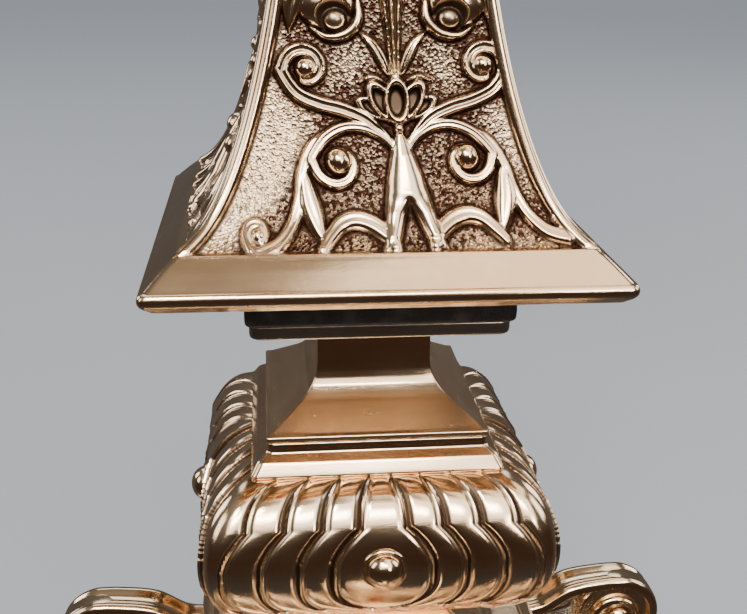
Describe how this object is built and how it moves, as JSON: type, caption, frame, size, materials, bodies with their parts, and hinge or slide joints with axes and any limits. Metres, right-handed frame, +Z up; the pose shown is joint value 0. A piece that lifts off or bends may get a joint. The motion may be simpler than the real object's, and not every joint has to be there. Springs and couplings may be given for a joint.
{
  "type": "monstrance",
  "caption": "Altar monstrance: square foot, moulded stem with lobed knop and flared shaft, and a sunburst holding a glazed round case with hinged rear door, latch and sliding lunette.",
  "frame": {"origin": "centre of the base at table level", "axes": "+Z up along the stem; the front of the case faces -Y and its rear door opens towards +Y"},
  "size_m": [0.3, 0.188, 0.6636],
  "materials": {
    "gilt": "polished rose-gold gilt brass, dark in the recesses",
    "bright_gilt": "brightly polished gilt brass",
    "relief_gilt": "chased gilt brass, polished relief on a punched ground with brown patina",
    "dark_bronze": "brown patinated brass, polished",
    "leather": "black leather packing, matt",
    "glass": "clear flat glass",
    "steel": "plain steel"
  },
  "bodies": {
    "stand": {"ball_feet": "bright_gilt", "foot_screws": "steel", "bottom_plate": "gilt", "base_moulding": "gilt", "foot_riser": "relief_gilt", "side_scrolls": "bright_gilt", "riser_cap": "gilt", "lower_neck": "gilt", "knop": "relief_gilt", "knop_studs": "bright_gilt", "plinth": "gilt", "neck": "gilt", "abacus": "dark_bronze", "spacer": "leather", "flare_collar": "dark_bronze", "flare_floor": "gilt", "flare_moulding": "gilt", "flare_shell": "relief_gilt", "stem_cap": "bright_gilt", "upper_knop": "gilt", "ferrule": "bright_gilt", "ferrule_screw": "steel", "tie_rod": "steel", "rod_nut": "steel", "rod_washer": "steel", "stalk": "gilt", "front_rays": "gilt", "rear_rays": "gilt", "glory_ring": "bright_gilt", "glory_screws": "steel", "luna_drum": "gilt", "front_bezel": "bright_gilt", "front_glass": "glass", "glass_retainer": "gilt", "lunette_rail": "gilt", "hinge_pin": "steel", "latch_post": "steel", "cross_base": "bright_gilt", "top_cross": "bright_gilt"},
    "lunette": {"lunette": "bright_gilt", "jaw_pin": "steel"},
    "jaw": {"lunette_jaw": "bright_gilt"},
    "door": {"door_ring": "bright_gilt", "rear_glass": "glass", "rear_retainer": "gilt"},
    "latch": {"latch": "bright_gilt"}
  },
  "joints": [
    {"name": "rear_door", "type": "hinge", "parent": "stand", "child": "door", "pos_m": [0.049, 0.013, 0.4696], "axis": [0, 0, -1], "range_deg": [0, 110]},
    {"name": "latch_turn", "type": "hinge", "parent": "stand", "child": "latch", "pos_m": [-0.0495, 0.0163, 0.4696], "axis": [0, 1, 0], "range_deg": [0, 90]},
    {"name": "lunette_slide", "type": "slide", "parent": "stand", "child": "lunette", "axis": [0, 1, 0], "range_m": [0, 0.026]},
    {"name": "jaw_turn", "type": "hinge", "parent": "lunette", "child": "jaw", "pos_m": [0, 0.0026, 0.4357], "axis": [-1, 0, 0], "range_deg": [0, 10]}
  ],
  "couplings": [
    {"joint": "lunette_slide", "follows": "rear_door", "m_per_rad": 0.01354}
  ]
}
